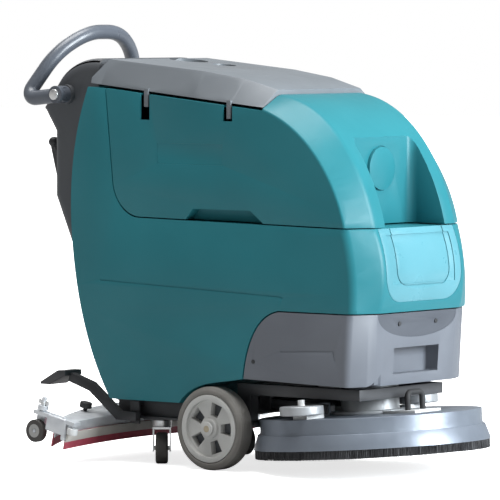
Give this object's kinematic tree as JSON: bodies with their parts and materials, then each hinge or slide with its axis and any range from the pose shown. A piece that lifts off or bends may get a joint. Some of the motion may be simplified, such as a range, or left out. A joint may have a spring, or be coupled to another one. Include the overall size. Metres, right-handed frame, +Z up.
{
  "type": "walk-behind floor scrubber",
  "caption": "Battery walk-behind floor scrubber with a tilting recovery tank, lifting disc brush deck, curved rear squeegee, swivel casters and a hoop handle.",
  "frame": {"origin": "centre of the bounding box on the floor, 6 mm behind the main axle", "axes": "+X forward towards the brush deck, +Y to the machine left, +Z up"},
  "size_m": [1.1906, 0.78, 1.058],
  "materials": {
    "base_frame": "black powder coat",
    "lower_tank": "rotomoulded teal polyethylene, soft sheen",
    "front_cover": "mid grey moulded plastic",
    "cover_screws": "black plastic",
    "console_housing": "dark grey moulded plastic",
    "console_panel": "black plastic",
    "handle_hoop": "blue-grey satin coating",
    "handle_bolts": "zinc plated",
    "battery_pack": "battery case",
    "controller_box": "black plastic",
    "vacuum_housing": "black plastic",
    "main_axle": "plain steel",
    "axle_caps": "light grey wheel centre",
    "hinge_leaves": "zinc plated",
    "suction_hose": "ribbed suction hose",
    "recovery_tank": "rotomoulded teal polyethylene, soft sheen",
    "tank_hinges": "zinc plated",
    "float_cage": "black plastic",
    "float_ball": "mid grey moulded plastic",
    "tank_lid": "mid grey moulded plastic",
    "lid_gasket": "black plastic",
    "deck_arms": "black powder coat",
    "brush_deck": "silver-grey paint",
    "deck_skirt": "black nylon bristles",
    "brush_motor": "plain steel",
    "deck_brackets": "zinc plated",
    "deck_bumper": "black powder coat",
    "brush_hub": "plain steel",
    "brush_block": "dark grey moulded plastic",
    "brush_bristles": "black nylon bristles",
    "deck_pedal": "black powder coat",
    "squeegee_arm": "black powder coat",
    "squeegee_frame": "zinc plated",
    "squeegee_spout": "black plastic",
    "front_blade": "red squeegee rubber",
    "rear_blade": "red squeegee rubber",
    "right_end_bracket": "cast aluminium",
    "left_end_bracket": "cast aluminium",
    "squeegee_lever": "black powder coat",
    "key_switch": "plain steel",
    "water_knob": "black plastic",
    "brush_switch": "black plastic",
    "vacuum_switch": "black plastic",
    "vacuum_fan": "black plastic",
    "right_wheel_disc": "light grey wheel centre",
    "right_wheel_tyre": "non-marking grey rubber",
    "right_caster_fork": "zinc plated",
    "right_caster_wheel": "dark rubber",
    "right_guide_roller": "mid grey moulded plastic",
    "right_support_wheel": "dark grey moulded plastic",
    "right_bumper_roller": "mid grey moulded plastic",
    "right_clamp_knob": "black plastic",
    "left_wheel_disc": "light grey wheel centre",
    "left_wheel_tyre": "non-marking grey rubber",
    "left_caster_fork": "zinc plated",
    "left_caster_wheel": "dark rubber",
    "left_guide_roller": "mid grey moulded plastic",
    "left_support_wheel": "dark grey moulded plastic",
    "left_bumper_roller": "mid grey moulded plastic",
    "left_clamp_knob": "black plastic"
  },
  "bodies": {
    "machine": {"base_frame": "base_frame", "lower_tank": "lower_tank", "front_cover": "front_cover", "cover_screws": "cover_screws", "console_housing": "console_housing", "console_panel": "console_panel", "handle_hoop": "handle_hoop", "handle_bolts": "handle_bolts", "battery_pack": "battery_pack", "controller_box": "controller_box", "vacuum_housing": "vacuum_housing", "main_axle": "main_axle", "axle_caps": "axle_caps", "hinge_leaves": "hinge_leaves", "suction_hose": "suction_hose"},
    "recovery_tank": {"recovery_tank": "recovery_tank", "tank_hinges": "tank_hinges", "float_cage": "float_cage"},
    "float": {"float_ball": "float_ball"},
    "lid": {"tank_lid": "tank_lid", "lid_gasket": "lid_gasket"},
    "deck_arms": {"deck_arms": "deck_arms"},
    "deck": {"brush_deck": "brush_deck", "deck_skirt": "deck_skirt", "brush_motor": "brush_motor", "deck_brackets": "deck_brackets", "deck_bumper": "deck_bumper"},
    "brush": {"brush_hub": "brush_hub", "brush_block": "brush_block", "brush_bristles": "brush_bristles"},
    "pedal": {"deck_pedal": "deck_pedal"},
    "squeegee_arm": {"squeegee_arm": "squeegee_arm"},
    "squeegee": {"squeegee_frame": "squeegee_frame", "squeegee_spout": "squeegee_spout", "front_blade": "front_blade", "rear_blade": "rear_blade", "right_end_bracket": "right_end_bracket", "left_end_bracket": "left_end_bracket"},
    "squeegee_lever": {"squeegee_lever": "squeegee_lever"},
    "key_switch": {"key_switch": "key_switch"},
    "water_knob": {"water_knob": "water_knob"},
    "brush_switch": {"brush_switch": "brush_switch"},
    "vacuum_switch": {"vacuum_switch": "vacuum_switch"},
    "vacuum_fan": {"vacuum_fan": "vacuum_fan"},
    "right_wheel": {"right_wheel_disc": "right_wheel_disc", "right_wheel_tyre": "right_wheel_tyre"},
    "right_caster": {"right_caster_fork": "right_caster_fork"},
    "right_caster_wheel": {"right_caster_wheel": "right_caster_wheel"},
    "right_guide_roller": {"right_guide_roller": "right_guide_roller"},
    "right_support_wheel": {"right_support_wheel": "right_support_wheel"},
    "right_bumper_roller": {"right_bumper_roller": "right_bumper_roller"},
    "right_clamp_knob": {"right_clamp_knob": "right_clamp_knob"},
    "left_wheel": {"left_wheel_disc": "left_wheel_disc", "left_wheel_tyre": "left_wheel_tyre"},
    "left_caster": {"left_caster_fork": "left_caster_fork"},
    "left_caster_wheel": {"left_caster_wheel": "left_caster_wheel"},
    "left_guide_roller": {"left_guide_roller": "left_guide_roller"},
    "left_support_wheel": {"left_support_wheel": "left_support_wheel"},
    "left_bumper_roller": {"left_bumper_roller": "left_bumper_roller"},
    "left_clamp_knob": {"left_clamp_knob": "left_clamp_knob"}
  },
  "joints": [
    {"name": "right_wheel_spin", "type": "hinge", "parent": "machine", "child": "right_wheel", "pos_m": [0.00608, -0.2175, 0.1], "axis": [0, 1, 0], "continuous": true},
    {"name": "right_caster_swivel", "type": "hinge", "parent": "machine", "child": "right_caster", "pos_m": [-0.20892, -0.15, 0.095], "axis": [0, 0, 1], "continuous": true},
    {"name": "right_caster_roll", "type": "hinge", "parent": "right_caster", "child": "right_caster_wheel", "pos_m": [-0.19414, -0.16891, 0.038], "axis": [-0.788, -0.6157, 0], "continuous": true},
    {"name": "right_guide_roller_spin", "type": "hinge", "parent": "deck", "child": "right_guide_roller", "pos_m": [0.27603, -0.231, 0.15559], "axis": [-0.0706, 0, 0.9975], "continuous": true},
    {"name": "right_support_wheel_spin", "type": "hinge", "parent": "squeegee", "child": "right_support_wheel", "pos_m": [-0.4112, -0.381, 0.08258], "axis": [0, 1, 0], "continuous": true},
    {"name": "right_bumper_roller_spin", "type": "hinge", "parent": "squeegee", "child": "right_bumper_roller", "pos_m": [-0.30212, -0.377, 0.08597], "axis": [0.2079, 0, 0.9781], "continuous": true},
    {"name": "right_clamp_knob_turn", "type": "hinge", "parent": "squeegee", "child": "right_clamp_knob", "pos_m": [-0.39452, -0.215, 0.1322], "axis": [0.2079, 0, 0.9781], "range_deg": [0, 360]},
    {"name": "left_wheel_spin", "type": "hinge", "parent": "machine", "child": "left_wheel", "pos_m": [0.00608, 0.2175, 0.1], "axis": [0, 1, 0], "continuous": true},
    {"name": "left_caster_swivel", "type": "hinge", "parent": "machine", "child": "left_caster", "pos_m": [-0.20892, 0.15, 0.095], "axis": [0, 0, 1], "continuous": true},
    {"name": "left_caster_roll", "type": "hinge", "parent": "left_caster", "child": "left_caster_wheel", "pos_m": [-0.18637, 0.14179, 0.038], "axis": [-0.342, -0.9397, 0], "continuous": true},
    {"name": "left_guide_roller_spin", "type": "hinge", "parent": "deck", "child": "left_guide_roller", "pos_m": [0.27603, 0.231, 0.15559], "axis": [-0.0706, 0, 0.9975], "continuous": true},
    {"name": "left_support_wheel_spin", "type": "hinge", "parent": "squeegee", "child": "left_support_wheel", "pos_m": [-0.4112, 0.381, 0.08258], "axis": [0, 1, 0], "continuous": true},
    {"name": "left_bumper_roller_spin", "type": "hinge", "parent": "squeegee", "child": "left_bumper_roller", "pos_m": [-0.30212, 0.377, 0.08597], "axis": [0.2079, 0, 0.9781], "continuous": true},
    {"name": "left_clamp_knob_turn", "type": "hinge", "parent": "squeegee", "child": "left_clamp_knob", "pos_m": [-0.39452, 0.215, 0.1322], "axis": [0.2079, 0, 0.9781], "range_deg": [0, 360]},
    {"name": "tank_tilt", "type": "hinge", "parent": "machine", "child": "recovery_tank", "pos_m": [0.03608, 0.237, 0.592], "axis": [-1, 0, 0], "range_deg": [0, 80]},
    {"name": "lid_open", "type": "hinge", "parent": "recovery_tank", "child": "lid", "pos_m": [-0.37192, 0.224, 0.916], "axis": [-0.9951, 0, 0.0989], "range_deg": [0, 95]},
    {"name": "float_rise", "type": "slide", "parent": "recovery_tank", "child": "float", "axis": [0, 0, 1], "range_m": [0, 0.075]},
    {"name": "deck_lift", "type": "hinge", "parent": "machine", "child": "deck_arms", "pos_m": [0.06608, 0, 0.155], "axis": [0, 1, 0], "range_deg": [0, 13]},
    {"name": "deck_level", "type": "hinge", "parent": "deck_arms", "child": "deck", "pos_m": [0.23136, 0, 0.14942], "axis": [0, -1, 0], "range_deg": [0, 8.9]},
    {"name": "brush_spin", "type": "hinge", "parent": "deck", "child": "brush", "pos_m": [0.30984, 0, 0.10285], "axis": [-0.0706, 0, 0.9975], "continuous": true},
    {"name": "pedal_press", "type": "hinge", "parent": "machine", "child": "pedal", "pos_m": [-0.26192, -0.2, 0.112], "axis": [0, 1, 0], "range_deg": [0, 14]},
    {"name": "squeegee_lift", "type": "hinge", "parent": "machine", "child": "squeegee_arm", "pos_m": [-0.14392, 0, 0.128], "axis": [0, -1, 0], "range_deg": [0, 12], "deforming": ["suction_hose"]},
    {"name": "squeegee_swing", "type": "hinge", "parent": "squeegee_arm", "child": "squeegee", "pos_m": [-0.39188, 0, 0.13981], "axis": [0.2079, 0, 0.9781], "range_deg": [-8, 8]},
    {"name": "squeegee_lever_pull", "type": "hinge", "parent": "machine", "child": "squeegee_lever", "pos_m": [-0.54192, -0.125, 0.664], "axis": [0, -1, 0], "range_deg": [0, 30]},
    {"name": "key_turn", "type": "hinge", "parent": "machine", "child": "key_switch", "pos_m": [-0.54112, 0.11, 0.89441], "axis": [-0.7986, 0, 0.6018], "range_deg": [0, 90]},
    {"name": "water_knob_turn", "type": "hinge", "parent": "machine", "child": "water_knob", "pos_m": [-0.54112, 0.055, 0.89441], "axis": [-0.7986, 0, 0.6018], "range_deg": [0, 270]},
    {"name": "brush_switch_rock", "type": "hinge", "parent": "machine", "child": "brush_switch", "pos_m": [-0.53992, -0.005, 0.8935], "axis": [0, 1, 0], "range_deg": [-7, 7]},
    {"name": "vacuum_switch_rock", "type": "hinge", "parent": "machine", "child": "vacuum_switch", "pos_m": [-0.53992, -0.045, 0.8935], "axis": [0, 1, 0], "range_deg": [-7, 7]},
    {"name": "vacuum_fan_spin", "type": "hinge", "parent": "machine", "child": "vacuum_fan", "pos_m": [0.24608, 0, 0.432], "axis": [0, 0, 1], "continuous": true}
  ],
  "couplings": [
    {"joint": "deck_level", "follows": "deck_lift", "ratio": 0.6846},
    {"joint": "pedal_press", "follows": "deck_lift", "ratio": 1.0769},
    {"joint": "squeegee_lever_pull", "follows": "squeegee_lift", "ratio": 2.5}
  ]
}
